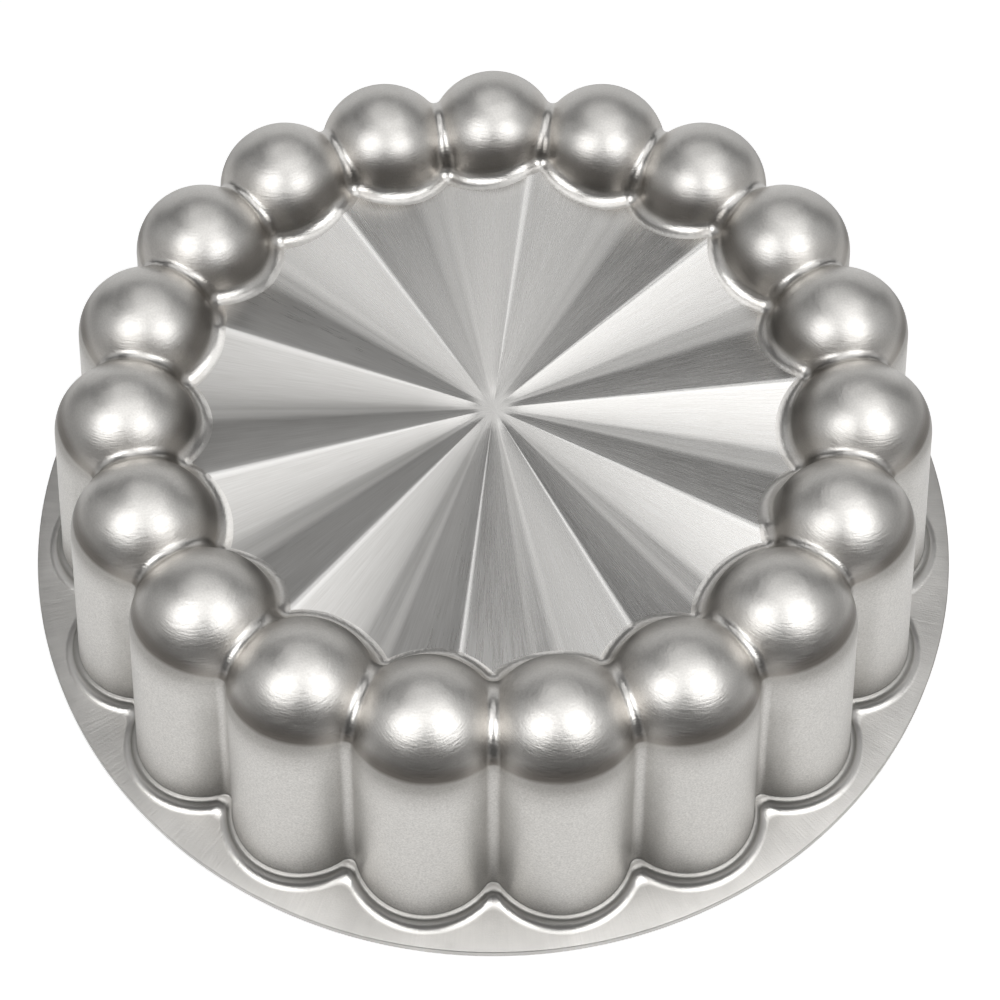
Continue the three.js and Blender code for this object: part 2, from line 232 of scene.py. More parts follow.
class MouldSizes(PropertyGroup):
    """Driving sizes of the casting."""

    rim_radius: length("Rim radius", "Outside radius of the flat rim", RIM_BOX[1].x)
    rim_thickness: length("Rim thickness", "Thickness of the flat rim", 0.0026)
    rim_ledge: length("Rim ledge", "Flat width outside the foot", 0.0036)
    rim_edge: length("Rim edge", "Rounding of the rim's outer edge", 0.0004)
    foot_height: length("Foot height", "Level where the fingers start", RIM_BOX[1].z)
    foot_step: length("Foot step", "How far the foot stands out from the fingers", 0.00385)
    foot_fillet: length("Foot fillet", "Radius at the bottom of the foot", 0.0024)
    foot_bead: length("Foot bead", "Radius of the foot's edge", 0.0012)
    foot_round: length("Foot round", "Rounding of the foot's outline between two fingers", 0.0035)
    foot_slope: length("Foot slope", "Fall of the foot's top away from the fingers", 0.0004)
    height: length("Height", "From the rim's underside to the top of the domes", 0.0745)
    wall: length("Wall", "Thickness of the casting", 0.003)
    dome_radius: length("Dome radius", "Radius of the domes and of the columns", 0.0184)
    lean: angle("Lean", "How far the fingers lean outwards, going down", 8.0)
    groove_fillet: length("Groove fillet", "Fillet between neighbouring fingers", 0.0024)
    cove_fillet: length("Cove fillet", "Fillet between the domes and the base", 0.004)
    neck_share: share("Neck share", "Way over the dome where the neck starts to widen", 0.65)
    pleat_count: IntProperty(name="Pleats", description="Folds of the base", default=10, min=3)
    pleat_depth: length("Pleat depth", "From ridge to valley, at the base's edge", 0.0048)
    pleat_turn: angle("Pleat turn", "Azimuth of one ridge before the pleats are drawn", 83.4)
    pleat_draw: angle("Pleat draw", "How far the side pleats are drawn to the front", 7.0)
    ridge_round: share("Ridge rounding", "Share of a fold that is rounded at its ridge", 0.04)
    valley_round: share("Valley rounding", "Share of a fold that is rounded at its valley", 0.22)
    fold_sag: share("Fold sag", "How much a fold steepens towards its ridge", 0.2)
    base_lift: length("Base lift", "Mean level of the base's edge above the dome centres", 0.001)
    base_dish: length("Base dish", "How much lower the middle of the base is", 0.002)
    base_spot: length("Base spot", "Radius of the plain spot in the middle", 0.0076)


class MouldFinish(PropertyGroup):
    """Colours and roughness of the bare metal, with the colours and amounts of its painted shade and
    painted highlights.
    """

    metal: colour("Metal", "Bare cast aluminium", (0.81, 0.793, 0.765))
    # Shade: the dark speckle of the blasted grain, and painted shade beside the grooves of the columns
    # and on the foot
    shade: colour("Shade", "Dull metal beside the grooves of the columns", (0.33, 0.32, 0.30))
    # Ridge: a bright tone for the brush streaks of the base and the painted highlight along its ridges
    ridge: colour("Ridge", "Metal worn bright on the ridges of the base", (0.95, 0.94, 0.92))
    # Valley: painted shade in the valleys of the base
    valley: colour("Valley", "Dull metal in the valleys of the base", (0.2, 0.195, 0.187))
    # Dome shade: painted shade, the dark crescent at the foot of the domes and above the coves
    dome_shade: colour("Burnish", "Dark metal at the foot of the domes", (0.15, 0.135, 0.119))
    # Neck shade: painted shade with a warm tint beside the necks and the grooves of the domes
    neck_shade: colour("Tarnish", "Warm metal beside the necks", (0.47, 0.41, 0.345))
    dome_roughness: share("Dome roughness", "Satin polish of the domes", 0.39)
    cove_roughness: share("Cove roughness", "Polish of the coves and the necks", 0.29)
    column_roughness: share("Column roughness", "Blasted columns", 0.46)
    base_roughness: share("Base roughness", "Brushed base", 0.26)
    rim_roughness: share("Rim roughness", "Brushed rim", 0.42)
    brushing: share("Brushing", "Stretch of highlights across the brush lines of the base", 0.35)
    # Painted shade in the valleys of the base
    valley_shading: share("Valley dulling", "How much duller the valleys of the base are", 0.4)
    # Painted shade on one side of the base, which is also made rougher
    shaded_side_azimuth: angle("Wear azimuth", "Side of the base that is worn dull", 205.0)
    side_shading: share("Wear dulling", "How much darker the worn side of the base is", 0.29)
    side_roughness: share("Wear roughness", "How much rougher the worn side of the base is", 0.05)


class StudioLook(PropertyGroup):
    """Floor, lamps and camera."""

    floor: colour("Floor", "Pale studio floor", (0.86, 0.86, 0.86))
    surround: colour("Surround", "Dim studio walls, as the world's colour", (0.07, 0.07, 0.07))
    key_glow: glow("Key glow", "Radiance of each softbox", 2.5)
    over_glow: glow("Over glow", "Radiance of the overhead panel", 1.22)
    fill_glow: glow("Fill glow", "Radiance of the panel at the upper left", 0.68)
    slope_glow: glow("Slope glow", "Radiance of the panel behind the overhead one", 0.74)
    back_glow: glow("Back glow", "Radiance of the low panel at the back", 0.62)
    side_glow: glow("Side glow", "Radiance of the panels at the sides", 0.38)
    floor_glow: share("Floor glow", "White that the floor adds for the eye", 0.5)
    floor_gleam: share("Floor gleam", "White that the floor adds in reflections", 0.24)
    floor_size: length("Floor size", "Width of the pale floor", 6.0)
    camera_place: position("Camera", "Where the camera stands", (0.0, -0.3007, 0.4813))
    camera_aim: position("Aim", "Point that the camera looks at", (0.0, 0.0, 0.02862))
    lens: FloatProperty(
        name="Lens", description="Focal length in mm", default=71.6, subtype="DISTANCE_CAMERA"
    )
    shift_x: FloatProperty(name="Shift X", description="Framing of the photograph", default=0.0066)
    shift_y: FloatProperty(name="Shift Y", description="Framing of the photograph", default=-0.0359)


def arc(first, second, part):
    """Direction part of the way round from one unit vector to another."""
    turn = first.angle(second)
    if turn < TINY_TURN:
        return first.copy()
    start = math.sin((1 - part) * turn) / math.sin(turn)
    end = math.sin(part * turn) / math.sin(turn)
    return (first * start + second * end).normalized()


def mix(first, second, part):
    """Value part of the way from one number to another."""
    return first + (second - first) * part


def smooth(value, low, high):
    """0 below low, 1 above high, with a soft step between."""
    part = min(max((value - low) / (high - low), 0.0), 1.0)
    return part * part * (3 - 2 * part)


def band(value, start, full, fading, gone):
    """1 from full to fading, 0 before start and after gone, with soft steps between."""
    return smooth(value, start, full) * (1 - smooth(value, fading, gone))


def toned(shade, tone=1.0):
    """A colour times a tone, as a shader's socket takes it."""
    return (*(tone * part for part in shade), 1.0)


class MouldForm:
    """The casting's skin as formulas. A finger has its own frame: X outwards, Y along the ring, Z up."""

    def __init__(self, sizes, count):
        self.sizes = sizes
        self.count = count
        self.half_turn = math.pi / count
        self.lean = sizes.lean
        self.radius = sizes.dome_radius
        self.level = sizes.height - sizes.dome_radius
        foot_edge = sizes.rim_radius - sizes.rim_ledge - sizes.foot_step
        foot_axis = foot_edge - self.radius / math.cos(self.lean)
        self.ring = foot_axis - (self.level - sizes.foot_height) * math.tan(self.lean)
        self.half_pitch = self.ring * math.sin(self.half_turn)
        self.base_radius = self.ring - self.radius - sizes.cove_fillet
        self.centre = Vector((self.ring, 0, self.level))
        self.down = Vector((math.sin(self.lean), 0, -math.cos(self.lean)))
        self.out = Vector((math.cos(self.lean), 0, math.sin(self.lean)))
        self.across = Vector((-math.sin(self.half_turn), math.cos(self.half_turn), 0))
        self.bisect = Vector((math.cos(self.half_turn), math.sin(self.half_turn), 0))

    def azimuth(self, number):
        """Azimuth of a finger, counted clockwise from the one at the back."""
        return math.pi / 2 - number * 2 * self.half_turn

    def turned(self, point, side, azimuth):
        """A point of a finger's frame, on the side named, in the mould's frame."""
        x, y = point.x, point.y * side
        cosine, sine = math.cos(azimuth), math.sin(azimuth)
        return Vector((x * cosine - y * sine, x * sine + y * cosine, point.z))

    def into_groove(self, direction):
        """The same direction laid into the plane between two fingers."""
        return (direction - self.across * direction.dot(self.across)).normalized()

    def fold_wave(self, fall):
        """Height of a fold from 0.5 on its ridge to -0.5 in its valley, with both rounded."""
        ridge, valley, rise = self.sizes.ridge_round, self.sizes.valley_round, 1 - fall
        sag = self.sizes.fold_sag * fall * rise
        if fall < ridge:
            return 0.5 - ridge / 2 - fall * fall / (2 * ridge) - sag
        if rise < valley:
            return -0.5 + valley / 2 + rise * rise / (2 * valley) - sag
        return 0.5 - fall - sag

    def crest(self, x, y):
        """1 on a ridge of the base, 0 in a valley."""
        azimuth = math.atan2(y, x)
        even = azimuth + self.sizes.pleat_draw * math.cos(azimuth)
        fold = (even - self.sizes.pleat_turn) * self.sizes.pleat_count / math.tau
        return 1 - abs(fold - round(fold)) * 2

    def fold_azimuth(self, fold):
        """Azimuth of a fold, counted in half pleats from a ridge."""
        even = self.sizes.pleat_turn + fold * math.pi / self.sizes.pleat_count
        azimuth = even
        for _ in range(SETTLE_PASSES):
            azimuth = even - self.sizes.pleat_draw * math.cos(azimuth)
        return azimuth

    def pleat_level(self, x, y):
        """Level of the pleated base."""
        sizes = self.sizes
        fall = 1 - self.crest(x, y)
        away = math.hypot(x, y)
        reach = away / self.base_radius
        swell = smooth(away, sizes.base_spot * SPOT_FLAT, sizes.base_spot)
        mean = self.level + sizes.base_lift + (reach - 1) * sizes.base_dish
        return mean + sizes.pleat_depth * reach * swell * self.fold_wave(fall)

    def groove_angle(self, along, radius):
        """Angle round the leaning axis where a circle meets the plane between two fingers."""
        gap = self.half_pitch + along * math.sin(self.lean) * math.sin(self.half_turn)
        ahead = math.cos(self.half_turn)
        beside = math.sin(self.half_turn) * math.cos(self.lean)
        return math.atan2(beside, ahead) + math.asin(gap / (radius * math.hypot(ahead, beside)))

    def column_point(self, along, rib, out):
        """Column: a leaning cylinder with a fillet into the groove, moved outwards by out."""
        fillet = self.sizes.groove_fillet - min(out, 0.0)
        fillet = mix(fillet, self.sizes.foot_round, max(out, 0.0) / self.sizes.foot_step)
        axis = self.centre + self.down * along
        reach = self.radius + out + fillet
        end = self.groove_angle(along, reach)
        if rib <= ROUND_STEPS:
            turn = end * rib / ROUND_STEPS
            way = self.out * math.cos(turn) + Vector((0, math.sin(turn), 0))
            return axis + way * (self.radius + out)
        outward = self.out * math.cos(end) + Vector((0, math.sin(end), 0))
        way = arc(-outward, self.into_groove(-outward), (rib - ROUND_STEPS) / GROOVE_STEPS)
        return axis + outward * reach + way * fillet

    def column_at_height(self, height, rib, out):
        """Point of the column at a stated height."""
        along = (self.level - height) / math.cos(self.lean)
        point = self.column_point(along, rib, out)
        for _ in range(LEVEL_PASSES):
            along += (point.z - height) / math.cos(self.lean)
            point = self.column_point(along, rib, out)
        return point

    def settle(self, place_ball, side, azimuth):
        """Lets a ball roll down a dome until it touches the pleats."""
        fillet = self.sizes.cove_fillet
        ball = place_ball(fillet)
        for _ in range(SETTLE_PASSES):
            spot = self.turned(ball, side, azimuth)
            ball = place_ball(self.pleat_level(spot.x, spot.y) + fillet - self.level)
        return ball

    def cove_balls(self, azimuth, side):
        """Balls in the cove under half a dome: one for each rib, and the corner one between two domes."""
        reach = self.radius + self.sizes.cove_fillet

        def at_corner(lift):
            inward = math.sqrt(reach**2 - self.half_pitch**2 - lift**2)
            return self.centre + self.across * self.half_pitch - self.bisect * inward + UP * lift

        corner = self.settle(at_corner, side, azimuth)
        sweep = math.atan2(corner.y, self.ring - corner.x)
        balls = []
        for rib in range(ROUND_STEPS + 1):
            turn = sweep * rib / ROUND_STEPS
            heading = Vector((-math.cos(turn), math.sin(turn), 0))

            def at_rib(lift, way=heading):
                return self.centre + way * math.sqrt(reach**2 - lift**2) + UP * lift

            balls.append(self.settle(at_rib, side, azimuth))
        return balls, corner

    def dome_row(self, cove, part, out):
        """Points across half a dome and its neck, from the column (part 0) to the cove (part 1)."""
        sizes, balls, corner = self.sizes, *cove
        fillet = mix(sizes.groove_fillet, sizes.cove_fillet, smooth(part, sizes.neck_share, 1.0))
        neck, neck_first, neck_last = (
            math.sqrt((self.radius + each) ** 2 - self.half_pitch**2)
            for each in (fillet, sizes.groove_fillet, sizes.cove_fillet)
        )
        reach = self.radius + sizes.groove_fillet
        rise = reach * math.cos(self.groove_angle(0, reach)) * math.sin(self.lean)
        last_turn = math.pi - math.asin((corner.z - self.level) / neck_last)
        turn = mix(math.asin(rise / neck_first), last_turn, part)
        neck_way = self.bisect * math.cos(turn) + UP * math.sin(turn)
        ball = self.centre + self.across * self.half_pitch + neck_way * neck
        to_ball = (ball - self.centre).normalized()
        last_middle = (balls[0] - self.centre).normalized()
        last_ball = (corner - self.centre).normalized()
        middle_turn = mix(self.lean, math.pi - math.asin(last_middle.z), part)
        middle = Vector((math.cos(middle_turn), 0, math.sin(middle_turn)))
        row = []
        for rib in range(ROUND_STEPS + 1):
            way = arc(middle, to_ball, rib / ROUND_STEPS)
            last_rib = (balls[rib] - self.centre).normalized()
            pull = last_rib - arc(last_middle, last_ball, rib / ROUND_STEPS)
            row.append(self.centre + (way + pull * part**2).normalized() * (self.radius + out))
        groove = self.into_groove(-to_ball)
        for rib in range(1, GROOVE_STEPS + 1):
            row.append(ball + arc(-to_ball, groove, rib / GROOVE_STEPS) * (fillet - out))
        return row

    def cove_row(self, cove, part, out):
        """Points across half a cove, from the dome (part 0) to the base (part 1)."""
        balls, corner = cove
        fillet = self.sizes.cove_fillet
        row = []
        for ball in balls:
            start = (self.centre - ball).normalized()
            row.append(ball + arc(start, -UP, part) * (fillet - out))
        inward = (self.centre - corner).normalized()
        groove = self.into_groove(inward)
        for rib in range(1, GROOVE_STEPS + 1):
            start = arc(inward, groove, rib / GROOVE_STEPS)
            row.append(corner + arc(start, -UP, part) * (fillet - out))
        return row

    def half_skin(self, azimuth, side, out):
        """Rows of points over one half of a finger, from its foot over the dome to the base."""
        cove = self.cove_balls(azimuth, side)
        level = self.sizes.foot_height
        foot = [self.column_at_height(level, rib, out) for rib in range(HALF_STEPS + 1)]
        top = self.dome_row(cove, 0.0, out)
        rows = []
        for step in range(COLUMN_STEPS):
            rows.append([low.lerp(high, step / COLUMN_STEPS) for low, high in zip(foot, top)])
        rows += [self.dome_row(cove, step / DOME_STEPS, out) for step in range(DOME_STEPS)]
        rows += [self.cove_row(cove, step / COVE_STEPS, out) for step in range(COVE_STEPS + 1)]
        return [[self.turned(point, side, azimuth) for point in row] for row in rows]

    def foot_section(self):
        """The rim's section as (outwards from the finger, level), from the finger's foot to the flat."""
        sizes = self.sizes
        top = sizes.foot_height - sizes.foot_slope
        radii = sizes.foot_bead + sizes.foot_fillet
        turn = math.acos(1 - (top - sizes.rim_thickness) / radii)
        bead_out = sizes.foot_step - radii * math.sin(turn)
        section = []
        for step in range(FOOT_STEPS + 1):
            part = math.pi / 2 * step / FOOT_STEPS
            fall = sizes.foot_slope * math.sin(part)
            section.append((sizes.foot_slope * (1 - math.cos(part)), sizes.foot_height - fall))
        for step in range(FOOT_STEPS + 1):
            part = turn * step / FOOT_STEPS
            fall = sizes.foot_bead * (1 - math.cos(part))
            section.append((bead_out + sizes.foot_bead * math.sin(part), top - fall))
        for step in range(1, FOOT_STEPS + 1):
            part = turn * (1 - step / FOOT_STEPS)
            rise = sizes.foot_fillet * (1 - math.cos(part))
            out = sizes.foot_step - sizes.foot_fillet * math.sin(part)
            section.append((out, sizes.rim_thickness + rise))
        return section

    def edge_section(self):
        """The rim's outer edge as (radius, level), from its top to its underside."""
        sizes = self.sizes
        section = []
        for centre_level, start in (
            (sizes.rim_thickness - sizes.rim_edge, math.pi / 2),
            (sizes.rim_edge, 0.0),
        ):
            for step in range(EDGE_STEPS + 1):
                turn = start - math.pi / 2 * step / EDGE_STEPS
                radius = sizes.rim_radius - sizes.rim_edge * (1 - math.cos(turn))
                section.append((radius, centre_level + sizes.rim_edge * math.sin(turn)))
        return section

    def base_outline(self):
        """The base's outline by azimuth: the lower edge of the coves, with points on every fold."""
        spots = []
        for number in range(self.count):
            azimuth = self.azimuth(number)
            for side in (1, -1):
                row = self.cove_row(self.cove_balls(azimuth, side), 1.0, 0.0)
                ribs = row[: ROUND_STEPS + 1] if side > 0 else row[1:ROUND_STEPS]
                spots += [self.turned(point, side, azimuth) for point in ribs]
        outline = sorted((math.atan2(spot.y, spot.x), spot) for spot in spots)
        folds = []
        for fold in range(2 * self.sizes.pleat_count):
            width = self.sizes.valley_round if fold % 2 else self.sizes.ridge_round
            for step in FOLD_STEPS:
                heading = self.fold_azimuth(fold + step * width)
                folds.append(self.on_outline(outline, math.remainder(heading, math.tau)))
        return [spot for _, spot in sorted(outline + folds, key=lambda item: item[0])]

    def on_outline(self, outline, heading):
        """Point of the outline at a stated azimuth."""
        after = next((index for index, item in enumerate(outline) if item[0] > heading), 0)
        before, ahead = outline[after - 1][1], outline[after][1]
        normal = Vector((-math.sin(heading), math.cos(heading), 0))
        part = before.dot(normal) / (before.dot(normal) - ahead.dot(normal))
        return heading, before.lerp(ahead, part)


def lay_grid(name, columns, rows, point_at):
    """A grid of faces, laid point by point on a form."""
    bpy.ops.object.select_all(action="DESELECT")
    bpy.ops.mesh.primitive_grid_add(x_subdivisions=columns, y_subdivisions=rows, size=1.0)
    piece = bpy.context.object
    piece.name = name
    piece.data.name = name
    for vertex in piece.data.vertices:
        column = round((vertex.co.x + 0.5) * columns)
        row = round((vertex.co.y + 0.5) * rows)
        vertex.co = point_at(column, row)
    return piece


def close_up(piece, sharp_angle):
    """Merges meeting edges, closes open ends, points the faces outwards and shades the skin."""
    bpy.ops.object.mode_set(mode="EDIT")
    bpy.ops.mesh.select_all(action="SELECT")
    bpy.ops.mesh.remove_doubles(threshold=MERGE_DISTANCE)
    bpy.ops.mesh.select_all(action="SELECT")
    bpy.ops.mesh.fill_holes(sides=0)
    bpy.ops.mesh.select_all(action="SELECT")
    bpy.ops.mesh.normals_make_consistent(inside=False)
    bpy.ops.object.mode_set(mode="OBJECT")
    bpy.ops.object.shade_smooth_by_angle(angle=sharp_angle)


def point_values(piece, name, values):
    """Stores one number for each point, for the material to read."""
    layer = piece.data.attributes.new(name, "FLOAT", "POINT")
    layer.data.foreach_set("value", values)


def mould_form():
    """The form with the sizes that the scene holds."""
    return MouldForm(bpy.context.scene.mould_sizes, len(FINGER_NODES))


def dress(piece, material, node):
    """Gives a piece its metal and its place on the body, and hides the imported part that it stands for.
    """
    piece.data.materials.clear()
    piece.data.materials.append(material)
    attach(piece, BODY)
    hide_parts(node)


class NodeBench:
    """Short calls for placing and linking shader nodes."""

    def __init__(self, tree):
        self.tree = tree

    def add(self, kind, **values):
        """Adds a node and sets its own values."""
        node = self.tree.nodes.new(kind)
        for key, value in values.items():
            setattr(node, key, value)
        return node

    def link(self, source, target):
        """Links an output socket to an input socket, or sets a plain value."""
        if isinstance(source, bpy.types.NodeSocket):
            self.tree.links.new(source, target)
        else:
            target.default_value = source

    def maths(self, operation, first, second=0.0):
        """A Math node's output."""
        node = self.add("ShaderNodeMath", operation=operation)
        self.link(first, node.inputs[0])
        self.link(second, node.inputs[1])
        return node.outputs[0]

    def spread(self, value, low, high, to_low, to_high):
        """A value spread from one range to another, clamped."""
        node = self.add("ShaderNodeMapRange")
        for socket, each in zip(node.inputs[:5], (value, low, high, to_low, to_high)):
            self.link(each, socket)
        return node.outputs["Result"]

    def between(self, mask, first, second):
        """A value that goes from one to another as a mask goes from 0 to 1."""
        return self.spread(mask, 0.0, 1.0, first, second)

    def mask(self, name):
        """The number that each point of a piece holds under a name."""
        return self.add("ShaderNodeAttribute", attribute_name=name).outputs["Fac"]

    def shares(self, first, second, part):
        """A sum of two patterns, the first with the share named and the second with the rest."""
        rest = self.maths("MULTIPLY", second, 1 - part)
        return self.maths("ADD", self.maths("MULTIPLY", first, part), rest)

    def blend(self, part, first, second):
        """A colour part of the way between two."""
        node = self.add("ShaderNodeMix", data_type="RGBA")
        self.link(part, node.inputs["Factor"])
        self.link(first, node.inputs["A"])
        self.link(second, node.inputs["B"])
        return node.outputs["Result"]

    def noise(self, vector, settings):
        """A noise texture's value for a scale, a detail and a roughness."""
        node = self.add("ShaderNodeTexNoise")
        self.link(vector, node.inputs["Vector"])
        for name, value in zip(("Scale", "Detail", "Roughness"), settings):
            node.inputs[name].default_value = value
        return node.outputs["Fac"]

    def stretch(self, vector, factors):
        """A vector scaled along each axis."""
        node = self.add("ShaderNodeVectorMath", operation="MULTIPLY")
        self.link(vector, node.inputs[0])
        node.inputs[1].default_value = factors
        return node.outputs[0]


def new_group(name, *outputs):
    """A shader group that turns a place into named values, with its bench, its place and its outlet."""
    group = bpy.data.node_groups.new(name, "ShaderNodeTree")
    group.interface.new_socket(name="Place", in_out="INPUT", socket_type="NodeSocketVector")
    for label in outputs:
        group.interface.new_socket(name=label, in_out="OUTPUT", socket_type="NodeSocketFloat")
    bench = NodeBench(group)
    place = bench.add("NodeGroupInput").outputs["Place"]
    return group, bench, place, bench.add("NodeGroupOutput")


def cast_grain_group(name):
    """Fine blasted grain and broad cloudy patches of a casting."""
    group, bench, place, outlet = new_group(name, "Grain", "Cloud")
    bench.link(bench.noise(place, GRAIN_NOISE), outlet.inputs["Grain"])
    bench.link(bench.noise(place, CLOUD_NOISE), outlet.inputs["Cloud"])
    return group


def level_brushing_group(name):
    """Fine brush lines that run level round the domes."""
    group, bench, place, outlet = new_group(name, "Lines")
    fine = bench.noise(bench.stretch(place, FINE_LEVEL_STRETCH), FINE_LEVEL_NOISE)
    broad = bench.noise(bench.stretch(place, BROAD_LEVEL_STRETCH), BROAD_LEVEL_NOISE)
    bench.link(bench.shares(fine, broad, FINE_LEVEL_SHARE), outlet.inputs["Lines"])
    return group


def radial_brushing_group(name):
    """Brush lines that run out from the mould's axis."""
    group, bench, place, outlet = new_group(name, "Lines")
    axes = bench.add("ShaderNodeSeparateXYZ")
    bench.link(place, axes.inputs[0])
    turn = bench.maths("ARCTAN2", axes.outputs["Y"], axes.outputs["X"])
    across = bench.maths("POWER", axes.outputs["X"], 2.0)
    along = bench.maths("POWER", axes.outputs["Y"], 2.0)
    away = bench.maths("SQRT", bench.maths("ADD", across, along))
    polar = bench.add("ShaderNodeCombineXYZ")
    bench.link(turn, polar.inputs["X"])
    bench.link(bench.maths("MULTIPLY", away, RADIAL_STRETCH), polar.inputs["Y"])
    fine = bench.noise(polar.outputs[0], FINE_RADIAL_NOISE)
    broad = bench.noise(polar.outputs[0], BROAD_RADIAL_NOISE)
    bench.link(bench.shares(fine, broad, FINE_RADIAL_SHARE), outlet.inputs["Lines"])
    return group


GROUP_MAKERS = {
    "Cast Grain": cast_grain_group,
    "Level Brushing": level_brushing_group,
    "Radial Brushing": radial_brushing_group,
}


def start_metal(name):
    """A bare metal material with its bench, its shader and the object's own coordinates."""
    material = bpy.data.materials.new(name)
    material.use_nodes = True
    bench = NodeBench(material.node_tree)
    shader = material.node_tree.nodes["Principled BSDF"]
    shader.inputs["Metallic"].default_value = 1.0
    place = bench.add("ShaderNodeTexCoord").outputs["Object"]
    return material, bench, shader, place


def use_group(bench, name, place):
    """Places an effect that the metals share in a material. It is built at its first use."""
    group = bpy.data.node_groups.get(name) or GROUP_MAKERS[name](name)
    node = bench.add("ShaderNodeGroup", node_tree=group)
    bench.link(place, node.inputs["Place"])
    return node


def lay_roughness(bench, value, limits, middle, spread):
    """A roughness that follows a pattern, spread about a middle value."""
    low, high = spread
    return bench.spread(value, *limits, middle + low, middle + high)


def lay_relief(bench, shader, height, relief):
    """Feeds a height to the shader's normal."""
    bump = bench.add("ShaderNodeBump")
    bump.inputs["Distance"].default_value, bump.inputs["Strength"].default_value = relief
    bench.link(height, bump.inputs["Height"])
    bench.link(bump.outputs["Normal"], shader.inputs["Normal"])


def finger_metal(finish):
    """Satin domes, polished coves and necks, blasted columns, with painted shade at the foot of the domes
    and beside the grooves and necks.
    """
    material, bench, shader, place = start_metal("finger_metal")
    polish, dome_shade, flank_shade, gloss = (bench.mask(name) for name in FINGER_MASKS)
    pattern = use_group(bench, "Cast Grain", place)
    grain, cloud = pattern.outputs["Grain"], pattern.outputs["Cloud"]
    lines = use_group(bench, "Level Brushing", place).outputs["Lines"]

    patches = bench.spread(cloud, *NOISE_RANGE, 0.0, 1.0)
    clean = bench.blend(patches, toned(finish.metal, CLOUDY_TONE), toned(finish.metal))
    most = bench.between(polish, COLUMN_SPECKLE, DOME_SPECKLE)
    clean = bench.blend(bench.spread(grain, *NOISE_RANGE, most, 0.0), clean, toned(finish.shade))
    # Painted shade: the dark crescent at the foot of each dome and above its cove
    clean = bench.blend(dome_shade, clean, toned(finish.dome_shade))
    # Painted shade beside the grooves of the columns, and with a warm tint beside the necks
    shaded = bench.blend(polish, toned(finish.shade), toned(finish.neck_shade))
    flank_shading = bench.maths("MULTIPLY", flank_shade, bench.spread(cloud, *WIDE_RANGE, *FLANK_SHADE_RANGE))
    bench.link(bench.blend(flank_shading, clean, shaded), shader.inputs["Base Color"])

    satin = lay_roughness(bench, lines, NOISE_RANGE, finish.dome_roughness, SATIN_SPREAD)
    matt = lay_roughness(bench, cloud, NOISE_RANGE, finish.column_roughness, MATT_SPREAD)
    rough = bench.between(gloss, bench.between(polish, matt, satin), finish.cove_roughness)
    bench.link(rough, shader.inputs["Roughness"])

    blasted = bench.maths("MULTIPLY", grain, bench.between(polish, COLUMN_GRAIN, DOME_GRAIN))
    brushed = bench.maths("MULTIPLY", lines, bench.between(polish, COLUMN_LINES, DOME_LINES))
    lay_relief(bench, shader, bench.maths("ADD", blasted, brushed), FINGER_RELIEF)
    return material


def base_metal(finish):
    """Pleated base, brushed out from the middle."""
    material, bench, shader, place = start_metal("base_metal")
    crest, shaded_rough_side = bench.mask("crest"), bench.mask("shaded_rough_side")
    grain = use_group(bench, "Cast Grain", place).outputs["Grain"]
    lines = use_group(bench, "Radial Brushing", place).outputs["Lines"]

    streak = bench.spread(lines, *LINE_RANGE, *STREAK_RANGE)
    clean = bench.blend(streak, toned(finish.metal, STREAK_TONE), toned(finish.ridge))
    # Painted shade, deepest in the valleys and on one side of the base
    depth = bench.maths("POWER", bench.maths("SUBTRACT", 1.0, crest), VALLEY_POWER)
    painted = bench.maths("MULTIPLY", shaded_rough_side, finish.side_shading)
    shading = bench.maths("ADD", painted, bench.maths("MULTIPLY", depth, finish.valley_shading))
    base_shaded = bench.blend(shading, clean, toned(finish.valley))
    # Painted highlight along each ridge
    highlight = bench.spread(crest, *RIDGE_CREST, 0.0, RIDGE_HIGHLIGHT)
    bench.link(bench.blend(highlight, base_shaded, toned(finish.ridge)), shader.inputs["Base Color"])

    rough = lay_roughness(bench, lines, LINE_RANGE, finish.base_roughness, BASE_SPREAD)
    rougher = bench.maths("ADD", rough, bench.maths("MULTIPLY", shaded_rough_side, finish.side_roughness))
    bench.link(rougher, shader.inputs["Roughness"])
    shader.inputs["Anisotropic"].default_value = finish.brushing
    tangent = bench.add("ShaderNodeTangent", direction_type="RADIAL", axis="Z")
    bench.link(tangent.outputs[0], shader.inputs["Tangent"])

    height = bench.maths("ADD", lines, bench.maths("MULTIPLY", grain, BASE_GRAIN))
    lay_relief(bench, shader, height, BASE_RELIEF)
    return material


def rim_metal(finish):
    """Rim and foot, coarsely brushed."""
    material, bench, shader, place = start_metal("rim_metal")
    foot, highlight = bench.mask("foot"), bench.mask("highlight")
    pattern = use_group(bench, "Cast Grain", place)
    grain, cloud = pattern.outputs["Grain"], pattern.outputs["Cloud"]
    lines = use_group(bench, "Radial Brushing", place).outputs["Lines"]

    patches = bench.spread(cloud, *NOISE_RANGE, 0.0, 1.0)
    streak = bench.maths("MULTIPLY", bench.spread(lines, *LINE_RANGE, *RIM_STREAK_RANGE), patches)
    dim, clear = toned(finish.metal, RIM_DIM_TONE), toned(finish.metal, RIM_CLEAR_TONE)
    # The fillet is polished, and its colour is lifted as a painted highlight
    bare = bench.blend(highlight, bench.blend(streak, dim, clear), toned(finish.metal))
    # Painted shade on the foot's top and wall
    shading = bench.maths("MULTIPLY", foot, FOOT_SHADING)
    bench.link(bench.blend(shading, bare, toned(finish.shade)), shader.inputs["Base Color"])

    rough = lay_roughness(bench, lines, NOISE_RANGE, finish.rim_roughness, RIM_SPREAD)
    polished = finish.rim_roughness - FILLET_POLISH
    bench.link(bench.between(highlight, rough, polished), shader.inputs["Roughness"])

    height = bench.maths("ADD", lines, bench.maths("MULTIPLY", grain, RIM_GRAIN))
    lay_relief(bench, shader, height, RIM_RELIEF)
    return material


